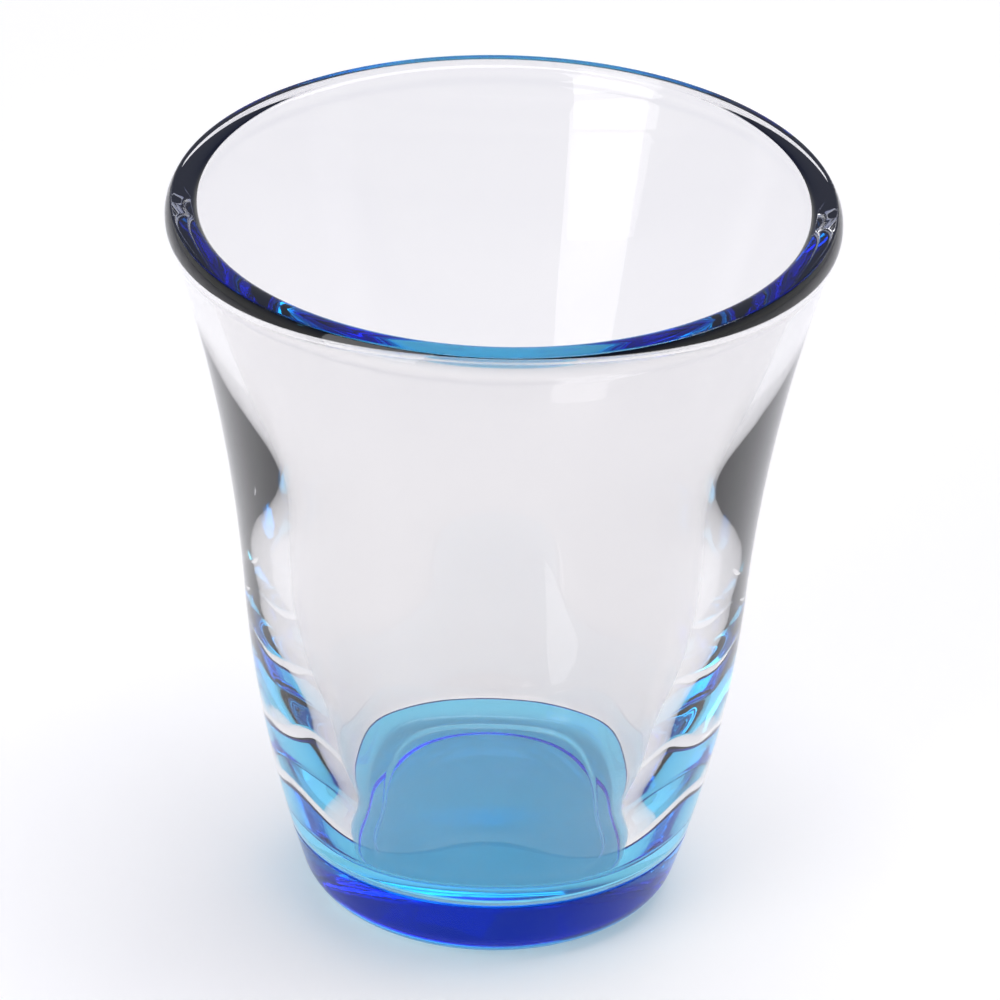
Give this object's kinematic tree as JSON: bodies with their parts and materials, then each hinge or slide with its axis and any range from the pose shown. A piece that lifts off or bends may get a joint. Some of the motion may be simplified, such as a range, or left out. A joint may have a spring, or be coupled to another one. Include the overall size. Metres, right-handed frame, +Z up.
{
  "type": "glass tumbler with coloured base",
  "caption": "Clear thick-walled glass tumbler that flares to a round beaded rim, with a rounded-square floor and a bonded translucent blue coat on its heavy base.",
  "frame": {"origin": "centre of the foot ring on the plane the glass stands on", "axes": "+Z up along the axis of the glass, towards the mouth; X and Y square to the sides of the rounded-square floor"},
  "size_m": [0.085, 0.085, 0.097],
  "materials": {
    "clear_glass": "clear fire-polished pressed glass",
    "blue_coat": "translucent cobalt-blue baked lacquer, smooth and glossy"
  },
  "bodies": {
    "root": {"glass_body": "clear_glass", "base_coat": "blue_coat"}
  },
  "joints": []
}
